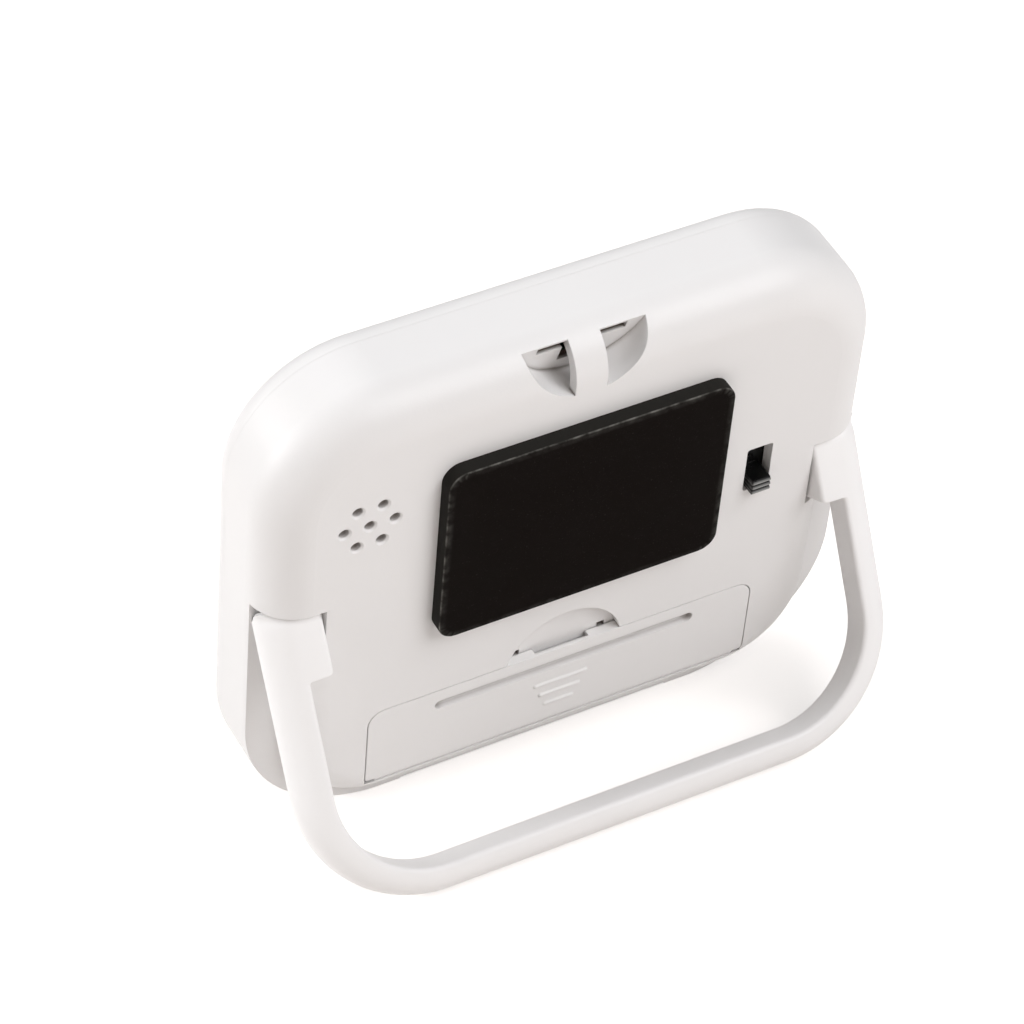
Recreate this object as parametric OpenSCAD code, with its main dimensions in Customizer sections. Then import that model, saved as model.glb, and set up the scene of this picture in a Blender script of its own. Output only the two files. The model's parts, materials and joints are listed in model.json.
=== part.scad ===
// Digital kitchen timer with a folding stand, a magnet on its back and one AAA cell.
// The timer leans back on its open stand, with the screen facing -Y and its back facing +Y.
// Inside the modules it is upright, and "depth" is measured forward from the flat back.

/* [Case] */
// Width of the case
body_w = 86; // [85:0.5:92]
// Height of the case
body_h = 75.5; // [75:0.5:84]
// Depth from the flat back to the front rim
body_d = 15.8; // [15:0.1:17]
// Corner radius of the outline at the top
top_r = 16.6; // [15:0.1:18]
// Corner radius of the outline at the bottom
low_r = 20.4; // [16:0.1:21]
// Rounding of the back edge
back_round = 6.2; // [6:0.1:8]
// Rounding of the front edge
front_round = 3; // [2:0.5:3.5]
// Wall thickness of both shells
wall = 1.8; // [1.6:0.1:2]
// Inset of the raised front panel from the outline
panel_in = 7; // [6:0.5:7.5]

/* [Stand] */
// Width of the stand's arms and bar, seen from behind
arm_w = 4.4; // [3.8:0.1:4.7]
// Thickness of the stand
arm_t = 4.8; // [4.6:0.1:5.2]
// Rounding of the stand's back edge
arm_round = 4.5; // [3:0.1:4.6]
// Corner radius of the stand's outline
stand_r = 18; // [16:0.1:20]
// Angle of the open stand from the back
open_angle = 30; // [22:1:36]
// Height of the stand's pivot above the middle of the case
pivot_z = 3.6; // [2:0.2:5]
// Width of a hinge block, arm included
block_w = 7.7; // [7:0.1:8]
// Length of a hinge block below the pivot
block_h = 7.4; // [6:0.1:8]
// Radius of the hinge pegs
peg_r = 1.2; // [0.9:0.1:1.5]

/* [Magnet] */
// Width of the magnet sheet
magnet_w = 40; // [34:1:42]
// Height of the magnet sheet
magnet_h = 29; // [24:0.5:30]
// Thickness of the magnet sheet
magnet_t = 2.1; // [1:0.1:3]
// Corner radius of the magnet sheet
magnet_r = 2.5; // [1:0.5:5]
// Height of the magnet's middle above the middle of the case
magnet_z = 10.6; // [9.6:0.2:11.6]

/* [Battery] */
// Radius of the AAA cell
cell_r = 5.25; // [5:0.05:5.25]
// Length of the cell without its nub
cell_len = 43.7; // [43:0.1:44]
// Width of the battery door's opening
door_w = 56.4; // [56:0.2:58]
// Height of the battery door's opening
door_h = 14; // [13.6:0.2:14.6]
// Thickness of the battery door
door_t = 1.4; // [1.2:0.1:1.6]
// Height of the door's middle above the bottom of the case
door_up = 14.75; // [14.35:0.2:15.15]

/* [Back] */
// Width of the switch slot
slot_w = 3.75; // [3.5:0.05:4.2]
// Height of the switch slot
slot_h = 7.3; // [6.6:0.1:8]
// Distance of the switch slot from the side of the case
slot_in = 16.6; // [16.2:0.2:17.4]
// Height of the slot's middle above the middle of the case
slot_z = 5.9; // [5.1:0.2:6.7]
// Diameter of a sound hole
hole_d = 1.4; // [1:0.1:1.8]
// Pitch of the sound holes
hole_pitch = 3.45; // [3:0.05:4]
// Distance of the sound holes from the side of the case
sound_in = 13.5; // [13:0.1:14]
// Height of the sound holes above the middle of the case
sound_z = 19; // [18.8:0.2:19.6]
// Radius of the half-moon hanging pocket
hang_r = 8.7; // [8:0.1:9]
// Width of the bar across the hanging pocket
bar_w = 4.4; // [3.6:0.1:5]

/* [Front] */
// Distance of the display window from the side of the case
window_in = 17; // [16.5:0.5:20]
// Height of the display window
window_h = 24; // [20:0.5:25]
// Radius of a button's cap
button_r = 5.3; // [4.5:0.1:5.6]
// Distance between two buttons
button_pitch = 21; // [18:0.5:21]
// How far a button goes in
button_travel = 0.5; // [0.3:0.05:0.5]

/* [Hidden] */
$fn = 64;

// Clearances: between pieces that move, round a pin that turns, and what a cut goes past
move_gap = 0.3;
pin_gap = 0.05;
over = 1;

// The nest that the folded stand lies in
side_in = 0.2;
nest_d = arm_t + move_gap;
nest_in = side_in + arm_w + move_gap;
nest_round = 4.2;
pivot_d = arm_t / 2;
nest_top = pivot_z + pivot_d + move_gap;
block_in = body_w / 2 - side_in - block_w;
block_gap = 0.3;
block_sweep = norm([block_h, pivot_d]);
peg_grip = 1.4;
peg_len = block_gap + peg_grip;
// The heel of a hinge block stops the open stand just short of the nest's floor
heel_gap = 0.1;
heel_h = (nest_d - heel_gap - pivot_d * (1 + cos(open_angle))) / sin(open_angle);

// Depths of the stack from the door to the front panel
cell_gap = 0.2;
cell_d = door_t + cell_gap + cell_r;
bay_d = cell_d + cell_r + cell_gap / 2;
bay_floor = 0.8;
board_back = bay_d + bay_floor + move_gap;
board_t = 1.2;
board_front = board_back + board_t;
key_h = 1.4;
plunger_h = 0.3;
key_slack = 0.1;
flange_t = 0.55;
flange_gap = 0.05;
panel_back = board_front + key_h + plunger_h + key_slack + button_travel + flange_t + flange_gap;
panel_t = 1.6;
panel_round = 1.2;
front_d = panel_back + panel_t;
front_wall = 0.5;
part_d = body_d - front_round - front_wall;
lip_t = 1.2;
lip_h = 2.5;
lip_gap = 0.15;

// The room inside the raised panel, and the board that lies in it
room_in = panel_in + wall;
board_gap = 0.7;
board_in = room_in + board_gap;
board_w = body_w - 2 * board_in;
board_h = body_h - 2 * board_in;
screw_edge = 2.5;
screw_drop = 3.5;
screw_x = board_w / 2 - screw_edge;
screw_top = board_h / 2 - screw_drop;
screw_low = -9;
post_r = 2;
shank_r = 0.7;
head_r = 1.9;
head_h = 1;
shank_grip = 2;
shank_h = board_t + shank_grip;

// Display
window_w = body_w - 2 * window_in;
lcd_edge = 1.5;
lcd_foot = 3.5;
lcd_t = 1.8;
lcd_drop = 1;
lcd_w = window_w + 2 * lcd_edge;
lcd_h = window_h + lcd_edge + lcd_foot;
lcd_top = board_h / 2 - lcd_drop;
window_z = lcd_top - lcd_edge - window_h / 2;
lens_edge = 2;
lens_w = window_w + 2 * lens_edge;
lens_h = window_h + 2 * lens_edge;
lens_t = 1;
lens_r = 3;
lens_gap = 0.15;
strip_h = 2;

// Buttons
button_up = 8.5;
button_z = button_up - board_h / 2;
button_rise = 1.2;
flange_edge = 1.2;
flange_r = button_r + flange_edge;

// Battery bay, its contacts and the door's hinge
bay_z = door_up - body_h / 2;
plate_t = 0.4;
nub_h = 0.8;
nub_r = 1.9;
spring_h = 5.7;
bay_l = cell_len + nub_h + spring_h + 2 * plate_t;
bay_slack = 0.5;
bay_h = 2 * cell_r + bay_slack;
bay_wall = 1.2;
cell_x = bay_l / 2 - plate_t - nub_h;
plate_h = 8;
plate_d0 = cell_d - plate_h / 2;
plate_d1 = cell_d + plate_h / 2;
tail_w = 2;
door_gap = 0.15;
door_low = bay_z - door_h / 2;
door_high = bay_z + door_h / 2;
door_r = 2.4;
door_low_r = 1.6;
hinge_r = 0.75;
hinge_in = 0.05;
hinge_d = hinge_r + hinge_in;
hinge_z = door_low + door_gap + hinge_r;
hinge_peg_r = 0.35;
hinge_peg_len = 0.7;
hinge_x = door_w / 2 - door_low_r;
frame_w = 2.2;
frame_h = 1.5;
frame_back = 1.2;
frame_d = 2 * door_t + door_gap + frame_back;
notch_w = 7.8;
notch_h = 1;
notch_lip = 0.5;
catch_x = 5.7;
catch_w = 1.1;
catch_low = 0.5;
catch_h = 0.9;
thumb_r = 8.5;
thumb_drop = 2;
thumb_d = 1.6;
thumb_wall = 1.2;
groove_l = 37;
groove_r = 0.75;
groove_drop = 2.9;
groove_z = door_high - groove_drop;
rib_r = 0.45;
rib_rise = 0.25;
rib_pitch = 2;
rib_drop = 3.2;
rib_top = groove_z - rib_drop;
rib_len = [8.1, 6.4, 4.6];

// Hanging pocket
hang_rise = 0.75;
hang_z = body_h / 2 + hang_rise;
// The pocket's floor slopes down from where it meets the rounded back edge
hang_tilt = 18;
hang_edge = 0.85;
hang_edge_z = body_h / 2 - hang_edge;
hang_edge_d = back_round - sqrt(2 * back_round * hang_edge - hang_edge * hang_edge);
hang_d = hang_edge_d + (hang_edge_z - hang_z + hang_r) * tan(hang_tilt);
hang_wall = 1.2;
bar_t = 1.6;
eye_edge = 0.35;
eye_w = bar_w + 2 * eye_edge;
eye_low = 2.5;
slit_drop = 0.3;
slit_top = hang_edge_z - slit_drop;
slit_h = 1.3;
slit_x = 1.6;
slit_w = 4.6;

// Slide switch
slot_r = 0.4;
knob_gap = 0.2;
slot_x = body_w / 2 - slot_in;
knob_side = 0.55;
knob_w = slot_w - 2 * knob_side;
knob_h = 2.4;
knob_rise = 0.4;
knob_rib = 0.22;
knob_foot = 1.2;
knob_z = slot_z - slot_h / 2 + knob_h / 2 + knob_gap;
knob_travel = slot_h - knob_h - 2 * knob_gap;
skirt_gap = 0.2;
skirt_d = wall + skirt_gap;
skirt_t = 0.5;
skirt_edge = 0.7;
skirt_w = slot_w + 2 * skirt_edge;
switch_w = 4.6;
switch_edge = 1.2;
switch_d = 4.3;
switch_h = slot_h + 2 * switch_edge;
switch_top = board_back - switch_d;

// Sounder
sound_x = body_w / 2 - sound_in;
hole_lip = 0.25;
disc_r = 10;
disc_t = 0.3;
disc_d = 4.5;
seat_w = 0.9;
cup_t = 1.1;
cup_h = 0.8;
ceramic_r = 7;
ceramic_t = 0.2;
contact_r = 1.2;
contact_wire = 0.22;
contact_turns = 7;
contact_out = 1.6;
contact_x = sound_x - ceramic_r - contact_out;

// Lean of the case: the floor touches the case's back bottom edge and the bar of the open stand
rest_y = -nest_d;
rest_cut = max(0, back_round - nest_d);
rest_z = back_round - sqrt(back_round * back_round - rest_cut * rest_cut) - body_h / 2;
// The case stands on the two ends of its bottom: the middle is raised a little
rest_rise = 0.3;
rest_land = 2.6;
rest_x = body_w / 2 - low_r - rest_land;
reach = pivot_z + body_h / 2 - side_in;
bar_y = reach * sin(open_angle) - pivot_d * (1 + cos(open_angle));
bar_z = pivot_z - reach * cos(open_angle) - pivot_d * sin(open_angle);
lean = atan2(bar_z - rest_z, bar_y - rest_y);
lift = rest_y * sin(lean) - rest_z * cos(lean);
// Middle of the front and back extremes of the leaning timer
panel_y = panel_round - front_d;
panel_z = panel_in + panel_round - body_h / 2;
foot_y = front_round - body_d;
foot_z = front_round - body_h / 2;
most_front = min(panel_y * cos(lean) + panel_z * sin(lean) - panel_round,
                 foot_y * cos(lean) + foot_z * sin(lean) - front_round);
round_s = reach - arm_round;
round_q = pivot_d - arm_round;
round_y = round_s * sin(open_angle) + round_q * cos(open_angle) - pivot_d;
round_z = pivot_z - round_s * cos(open_angle) + round_q * sin(open_angle);
most_back = round_y * cos(lean) + round_z * sin(lean) + arm_round;
shift = -(most_front + most_back) / 2;

// Row of points round a coil along +Z: its radius goes from r0 to r1 while it rises by h
coil_rings = 8;
coil_sides = 6;
function coil_mid(t, r0, r1, h, turns) = let (a = 360 * turns * t, r = r0 + (r1 - r0) * t)
  [r * cos(a), r * sin(a), h * t];
function coil_ring(t, r0, r1, h, turns, wire) = let (a = 360 * turns * t, m = coil_mid(t, r0, r1, h, turns))
  [for (k = [0 : coil_sides - 1]) let (b = 360 * k / coil_sides)
    m + wire * [cos(b) * cos(a), cos(b) * sin(a), sin(b)]];
// Least clear distance between two neighbouring turns
function coil_gap(r0, r1, h, turns, wire) = norm([(r1 - r0) / turns, h / turns]) - 2 * wire;

// Lay the upright timer down on its stand
module lean_back() {
  translate([0, shift, lift]) rotate([-lean, 0, 0]) children();
}

// Outline drawn across and up, made into a slab between two depths
module slab(d0, d1) {
  translate([0, -d0, 0]) rotate([90, 0, 0]) linear_extrude(d1 - d0) children();
}

// Round post between two depths
module post(x, z, r, d0, d1) {
  translate([x, -d0, z]) rotate([90, 0, 0]) cylinder(h = d1 - d0, r = r);
}

// Round bar across the case
module cross_bar(x0, x1, d, z, r) {
  translate([x0, -d, z]) rotate([0, 90, 0]) cylinder(h = x1 - x0, r = r);
}

// Box between two depths
module box(x0, x1, d0, d1, z0, z1) {
  translate([x0, -d1, z0]) cube([x1 - x0, d1 - d0, z1 - z0]);
}

// Rectangle with round corners, drawn about its middle
module round_rect(w, h, r) {
  square([w - 2 * r, h], center = true);
  square([w, h - 2 * r], center = true);
  for (sx = [-1, 1], sy = [-1, 1])
    translate([sx * (w / 2 - r), sy * (h / 2 - r)]) circle(r);
}

// Outline of the battery door, with one corner radius at the top and another at the hinge
module door_shape(w, h, r, low) {
  translate([0, bay_z]) {
    intersection() {
      round_rect(w, h, r);
      translate([-w / 2, 0]) square([w, h / 2]);
    }
    intersection() {
      round_rect(w, h, low);
      translate([-w / 2, -h / 2]) square([w, h / 2]);
    }
  }
}

// Half-disc of the thumb dip above the battery door
module thumb_shape(r) {
  translate([0, door_high - thumb_drop]) intersection() {
    circle(r);
    translate([-r, 0]) square([2 * r, r]);
  }
}

// Bar across the case with ball ends
module bead(len, d, z, r) {
  translate([-len / 2, -d, z]) rotate([0, 90, 0]) rotate_extrude() intersection() {
    union() {
      translate([0, r]) circle(r);
      translate([0, r]) square([r, len - 2 * r]);
      translate([0, len - r]) circle(r);
    }
    square([r, len]);
  }
}

// Section of a case edge: flat inside, rounded at the back by rb and at the front by rf
module rim(len, d0, d1, rb, rf) {
  translate([0, d0 + rb]) square([len, d1 - d0 - rb - rf]);
  if (rb > 0) {
    translate([0, d0]) square([len - rb, rb]);
    translate([len - rb, d0 + rb]) intersection() {
      circle(rb);
      translate([0, -rb]) square(rb);
    }
  }
  if (rf > 0) {
    translate([0, d1 - rf]) square([len - rf, rf]);
    translate([len - rf, d1 - rf]) intersection() {
      circle(rf);
      square(rf);
    }
  }
}

// Solid with the case's outline, inset all round, between two depths; low is its bottom corner radius
module form(inset, d0, d1, rb, rf, low = low_r) {
  top_x = body_w / 2 - top_r;
  low_x = body_w / 2 - low;
  top_c = body_h / 2 - top_r;
  low_c = body_h / 2 - low;
  for (side = [0, 1]) mirror([side, 0, 0]) {
    translate([top_x, 0, top_c]) rotate([90, 0, 0]) rotate_extrude(angle = 90)
      rim(top_r - inset, d0, d1, rb, rf);
    translate([low_x, 0, -low_c]) mirror([0, 0, 1]) rotate([90, 0, 0]) rotate_extrude(angle = 90)
      rim(low - inset, d0, d1, rb, rf);
    translate([0, 0, -low_c]) mirror([0, 1, 0]) linear_extrude(top_c + low_c)
      rim(body_w / 2 - inset, d0, d1, rb, rf);
  }
  translate([-top_x, 0, 0]) rotate([180, -90, 0]) linear_extrude(2 * top_x)
    rim(body_h / 2 - inset, d0, d1, rb, rf);
  mirror([0, 0, 1]) translate([-low_x, 0, 0]) rotate([180, -90, 0]) linear_extrude(2 * low_x)
    rim(body_h / 2 - inset, d0, d1, rb, rf);
}

// Part of the height, right across the case and all its depth
module band(z0, z1) {
  box(-body_w, body_w, -body_d, 2 * body_d, z0, z1);
}

// Coil of wire as one unbroken tube along +Z
module coil(r0, r1, h, turns, wire) {
  rings = coil_rings * turns;
  points = [for (i = [0 : rings]) each coil_ring(i / rings, r0, r1, h, turns, wire)];
  sides = [for (i = [0 : rings - 1], k = [0 : coil_sides - 1])
    let (a = i * coil_sides + k, b = i * coil_sides + (k + 1) % coil_sides)
    each [[a, a + coil_sides, b], [b, a + coil_sides, b + coil_sides]]];
  first = [for (k = [1 : coil_sides - 2]) [0, k, k + 1]];
  end = rings * coil_sides;
  last = [for (k = [1 : coil_sides - 2]) [end, end + k + 1, end + k]];
  polyhedron(points, concat(sides, first, last));
}

// Outside of the back half: the full form above the nest and a smaller one inside it
module rear_outside() {
  difference() {
    form(0, 0, part_d, back_round, 0);
    box(-body_w, body_w, -over, nest_d, -body_h, nest_top);
  }
  intersection() {
    form(nest_in, 0, nest_d + over, nest_round, 0, stand_r);
    band(-body_h, nest_top + over);
  }
}

// Hollow of the back half
module rear_hollow() {
  form(wall, nest_d + wall, part_d + over, 0, 0);
  form(nest_in + wall, wall, nest_d + wall + over, 0, 0, stand_r);
  intersection() {
    form(wall, wall, back_round + wall + over, back_round - wall, 0);
    band(nest_top + wall, body_h);
  }
}

// Walls round the pocket of one hinge block
module block_walls() {
  intersection() {
    form(nest_in, 0, nest_d + wall, nest_round, 0, stand_r);
    box(block_in - block_gap - wall, body_w, wall / 2, nest_d + wall,
        pivot_z - block_sweep - move_gap - wall, nest_top + over);
  }
}

// Room for one hinge block and its peg
module block_room() {
  box(block_in - block_gap, body_w, -over, nest_d, pivot_z - block_sweep - move_gap, nest_top);
  cross_bar(block_in - peg_len - move_gap, block_in, pivot_d, pivot_z, peg_r + pin_gap);
}

// Half-moon of the hanging pocket, its flat side up
module half_moon(r) {
  translate([0, hang_z]) intersection() {
    circle(r);
    translate([-r, -r]) square([2 * r, r]);
  }
}

// All that lies behind the pocket's sloping floor, or behind a face at a distance below it
module over_floor(t) {
  translate([-body_w / 2, -hang_edge_d - t / cos(hang_tilt), hang_edge_z]) rotate([-hang_tilt, 0, 0])
    translate([0, 0, -body_h / 2]) cube([body_w, body_d, body_h]);
}

// Cup that holds the sounder plate against the back
module sound_cup() {
  difference() {
    intersection() {
      post(sound_x, sound_z, disc_r + cup_t, wall / 2, disc_d + cup_h);
      form(wall / 2, wall / 2, part_d, back_round - wall / 2, 0);
    }
    post(sound_x, sound_z, disc_r + lip_gap, disc_d, disc_d + cup_h + over);
    post(sound_x, sound_z, disc_r - seat_w, 0, disc_d + over);
  }
}

// Round hole with a countersunk mouth
module sound_hole(x, z) {
  post(x, z, hole_d / 2, -over, wall + over);
  translate([x, 0, z]) rotate([90, 0, 0])
    cylinder(h = hole_lip, r1 = hole_d / 2 + hole_lip, r2 = hole_d / 2);
  post(x, z, hole_d / 2 + hole_lip, -over, 0);
}

// Six holes round one
module sound_holes() {
  sound_hole(sound_x, sound_z);
  for (a = [0 : 60 : 300])
    sound_hole(sound_x + hole_pitch * cos(a), sound_z + hole_pitch * sin(a));
}

// Slots for the tails of the two contact plates
module tail_slots(d0, d1) {
  for (side = [0, 1]) mirror([side, 0, 0])
    box(bay_l / 2 - plate_t - pin_gap, bay_l / 2 + pin_gap, d0, d1,
        bay_z - tail_w / 2 - pin_gap, bay_z + tail_w / 2 + pin_gap);
}

module rear_shell() {
  color("white") lean_back() {
    difference() {
      union() {
        difference() {
          rear_outside();
          rear_hollow();
        }
        for (side = [0, 1]) mirror([side, 0, 0]) block_walls();
        box(-bay_l / 2 - bay_wall, bay_l / 2 + bay_wall, wall / 2, bay_d + bay_floor,
            bay_z - bay_h / 2 - bay_wall, bay_z + bay_h / 2 + bay_wall);
        intersection() {
          form(nest_in, 0, nest_d + wall, nest_round, 0, stand_r);
          box(-door_w / 2 - frame_w, door_w / 2 + frame_w, wall / 2, frame_d,
              door_low - frame_h, door_high + frame_h);
        }
        slab(wall / 2, thumb_d + thumb_wall) thumb_shape(thumb_r + thumb_wall);
        sound_cup();
        intersection() {
          form(0, 0, part_d, back_round, 0);
          slab(0, hang_d + 2 * hang_wall) half_moon(hang_r + hang_wall);
          over_floor(hang_wall);
        }
      }
      for (side = [0, 1]) mirror([side, 0, 0]) block_room();
      box(-bay_l / 2, bay_l / 2, -over, bay_d, bay_z - bay_h / 2, bay_z + bay_h / 2);
      tail_slots(bay_d - over, bay_d + bay_floor + over);
      slab(-over, door_t + lip_gap) door_shape(door_w, door_h, door_r, door_low_r);
      cross_bar(door_gap - door_w / 2, door_w / 2 - door_gap, hinge_d, hinge_z, hinge_r + door_gap);
      cross_bar(-door_w / 2 - hinge_peg_len, door_w / 2 + hinge_peg_len, hinge_d, hinge_z,
                hinge_peg_r + pin_gap);
      slab(-over, thumb_d) thumb_shape(thumb_r);
      for (side = [0, 1]) mirror([side, 0, 0])
        box(catch_x, catch_x + catch_w, 0, frame_d + over,
            door_high - catch_low, door_high - catch_low + catch_h);
      slab(-over, wall + over) translate([-slot_x, slot_z]) round_rect(slot_w, slot_h, slot_r);
      sound_holes();
      intersection() {
        slab(-over, hang_d + over) half_moon(hang_r);
        over_floor(0);
      }
      box(-eye_w / 2, eye_w / 2, hang_edge_d, hang_d + 2 * hang_wall, hang_z - hang_r + eye_low, slit_top);
      for (side = [0, 1]) mirror([side, 0, 0])
        box(slit_x, slit_x + slit_w, hang_edge_d, hang_d + 2 * hang_wall, slit_top - slit_h, slit_top);
      box(-rest_x, rest_x, nest_d - over, part_d + over, -body_h, rest_rise - body_h / 2);
    }
    intersection() {
      difference() {
        form(0, 0, part_d, back_round, 0);
        form(bar_t, bar_t, part_d + over, back_round - bar_t, 0);
      }
      box(-bar_w / 2, bar_w / 2, -over, hang_d + hang_wall, hang_z - hang_r - over / 2, hang_z - over / 2);
    }
  }
}

module front_shell() {
  color("white") lean_back() {
    difference() {
      union() {
        form(0, part_d, body_d, 0, front_round);
        form(panel_in, body_d - over, front_d, 0, panel_round);
        form(wall + lip_gap, part_d - lip_h, part_d + over, 0, 0);
      }
      form(wall + lip_gap + lip_t, part_d - lip_h - over, body_d - wall, 0, 0);
      form(room_in, part_d, panel_back, 0, 0);
      slab(panel_back - over, front_d + over) translate([0, window_z])
        square([window_w, window_h], center = true);
      slab(front_d - lens_t, front_d + over) translate([0, window_z])
        round_rect(lens_w + 2 * lens_gap, lens_h + 2 * lens_gap, lens_r + lens_gap);
      for (i = [-1 : 1])
        post(i * button_pitch, button_z, button_r + move_gap, panel_back - over, front_d + over);
    }
    for (sx = [-1, 1], z = [screw_low, screw_top])
      difference() {
        post(sx * screw_x, z, post_r, board_front, panel_back + panel_t / 2);
        post(sx * screw_x, z, shank_r + pin_gap, board_front - over, board_front + shank_grip + move_gap);
      }
  }
}

module display_lens() {
  color("gainsboro") lean_back()
    slab(front_d - lens_t, front_d) translate([0, window_z]) round_rect(lens_w, lens_h, lens_r);
}

module lcd_glass() {
  color("darkseagreen") lean_back()
    box(-lcd_w / 2, lcd_w / 2, panel_back - lcd_t, panel_back, lcd_top - lcd_h, lcd_top);
}

module lcd_strip() {
  color("dimgray") lean_back()
    box(-lcd_w / 2 + over, lcd_w / 2 - over, board_front, panel_back - lcd_t,
        lcd_top - lcd_h + move_gap, lcd_top - lcd_h + move_gap + strip_h);
}

module main_board() {
  color("darkgreen") lean_back()
    difference() {
      form(board_in, board_back, board_front, 0, 0);
      for (sx = [-1, 1], z = [screw_low, screw_top])
        post(sx * screw_x, z, shank_r + pin_gap, board_back - over, board_front + over);
      tail_slots(board_back - over, board_front + over);
    }
}

// Low dome of sealing compound over the chip
module timer_chip() {
  chip_r = 6;
  chip_h = 1.5;
  ball_r = (chip_r * chip_r + chip_h * chip_h) / (2 * chip_h);
  color("black") lean_back()
    translate([0, -board_back, magnet_z]) rotate([-90, 0, 0]) rotate_extrude()
      intersection() {
        translate([0, chip_h - ball_r]) circle(ball_r, $fn = 200);
        square([chip_r + over, chip_h + over]);
      }
}

module crystal() {
  can_r = 1;
  can_l = 6;
  color("silver") lean_back()
    cross_bar(can_l, 2 * can_l, board_back - can_r, magnet_z - 2 * can_l, can_r);
}

module capacitor() {
  can_r = 2.5;
  can_h = 5;
  color("darkslateblue") lean_back()
    post(-can_r * 4, magnet_z - can_h * 2, can_r, board_back - can_h, board_back);
}

module key_switches() {
  key_w = 6;
  plunger_r = 1.6;
  color("dimgray") lean_back()
    for (i = [-1 : 1]) {
      slab(board_front, board_front + key_h) translate([i * button_pitch, button_z])
        square(key_w, center = true);
      post(i * button_pitch, button_z, plunger_r, board_front, board_front + key_h + plunger_h);
    }
}

// Push button with a flange that keeps it behind the panel
module push_button(i) {
  post(i * button_pitch, button_z, flange_r, panel_back - flange_gap - flange_t, panel_back - flange_gap);
  post(i * button_pitch, button_z, button_r, panel_back - flange_gap - flange_t, front_d + button_rise);
}

module minute_button() {
  color("whitesmoke") lean_back() push_button(-1);
}

module second_button() {
  color("whitesmoke") lean_back() push_button(0);
}

module start_button() {
  color("tomato") lean_back() push_button(1);
}

module switch_body() {
  color("silver") lean_back()
    difference() {
      box(-slot_x - switch_w / 2, -slot_x + switch_w / 2, switch_top, board_back,
          slot_z - switch_h / 2, slot_z + switch_h / 2);
      box(-slot_x - knob_w / 2 - pin_gap * 2, -slot_x + knob_w / 2 + pin_gap * 2, switch_top - over,
          switch_top + knob_foot + move_gap, slot_z - slot_h / 2, slot_z + slot_h / 2);
    }
}

// Knob on a long stem, with three ridges for the fingernail and a skirt that shuts the slot behind it
module switch_knob() {
  color("black") lean_back() {
    box(-slot_x - knob_w / 2, -slot_x + knob_w / 2, 0, switch_top + knob_foot,
        knob_z - knob_h / 2, knob_z + knob_h / 2);
    box(-slot_x - skirt_w / 2, -slot_x + skirt_w / 2, skirt_d, skirt_d + skirt_t,
        slot_z - slot_h / 2 - knob_travel - skirt_edge, slot_z + slot_h / 2 + skirt_edge);
    for (i = [-1 : 1])
      box(-slot_x - knob_w / 2, -slot_x + knob_w / 2, -knob_rise, over,
          knob_z + i * knob_h / 3 - knob_rib, knob_z + i * knob_h / 3 + knob_rib);
  }
}

module buzzer_disc() {
  color("goldenrod") lean_back() post(sound_x, sound_z, disc_r, disc_d, disc_d + disc_t);
}

module buzzer_ceramic() {
  color("ivory") lean_back()
    post(sound_x, sound_z, ceramic_r, disc_d + disc_t, disc_d + disc_t + ceramic_t);
}

// One spring touches the plate's rim and the other its ceramic
module buzzer_springs() {
  rim_d = disc_d + disc_t + contact_wire;
  mid_d = rim_d + ceramic_t;
  base_d = board_back - contact_wire;
  color("silver") lean_back() {
    translate([contact_x, -base_d, sound_z]) rotate([-90, 0, 0])
      coil(contact_r, contact_r, base_d - rim_d, contact_turns, contact_wire);
    translate([sound_x, -base_d, sound_z]) rotate([-90, 0, 0])
      coil(contact_r, contact_r, base_d - mid_d, contact_turns, contact_wire);
  }
}

module battery_cell() {
  color("steelblue") lean_back() {
    cross_bar(cell_x - cell_len, cell_x, cell_d, bay_z, cell_r);
    cross_bar(cell_x - over, cell_x + nub_h, cell_d, bay_z, nub_r);
  }
}

// Cone-shaped coil from its plate to the flat end of the cell
module battery_spring() {
  base_r = 3.6;
  tip_r = 2.2;
  wire = 0.32;
  turns = 4;
  echo(battery_spring_gap = coil_gap(base_r, tip_r, spring_h - 2 * wire, turns, wire));
  echo(buzzer_spring_gap = coil_gap(contact_r, contact_r, board_back - disc_d - disc_t - 2 * contact_wire,
                                    contact_turns, contact_wire));
  color("silver") lean_back()
    translate([plate_t - bay_l / 2 + wire, -cell_d, bay_z]) rotate([0, 90, 0])
      coil(base_r, tip_r, spring_h - 2 * wire, turns, wire);
}

// Contact plate at one end of the bay, with a tail through to the board
module contact_plate(sx) {
  x0 = sx * (bay_l / 2 - plate_t / 2) - plate_t / 2;
  box(x0, x0 + plate_t, plate_d0, plate_d1, bay_z - plate_h / 2, bay_z + plate_h / 2);
  box(x0, x0 + plate_t, plate_d1 - over, board_front, bay_z - tail_w / 2, bay_z + tail_w / 2);
}

module spring_plate() {
  color("silver") lean_back() contact_plate(-1);
}

module nub_plate() {
  color("silver") lean_back() contact_plate(1);
}

module battery_door() {
  leaf_w = door_w - 2 * door_gap;
  leaf_h = door_h - 2 * door_gap;
  color("white") lean_back() {
    difference() {
      union() {
        intersection() {
          form(nest_in, 0, nest_d, nest_round, 0, stand_r);
          union() {
            intersection() {
              slab(0, door_t) door_shape(leaf_w, leaf_h, door_r - door_gap, door_low_r - door_gap);
              band(hinge_z, body_h);
            }
            cross_bar(-hinge_x, hinge_x, hinge_d, hinge_z, hinge_r);
          }
        }
        for (i = [0 : 2])
          bead(rib_len[i], rib_r - rib_rise, rib_top - i * rib_pitch, rib_r);
      }
      box(-notch_w / 2, notch_w / 2, notch_lip, door_t + over,
          door_high - door_gap - notch_h, door_high + over);
      bead(groove_l, 0, groove_z, groove_r);
    }
    for (side = [0, 1]) mirror([side, 0, 0])
      cross_bar(leaf_w / 2 - over, leaf_w / 2 + hinge_peg_len, hinge_d, hinge_z, hinge_peg_r);
  }
}

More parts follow.
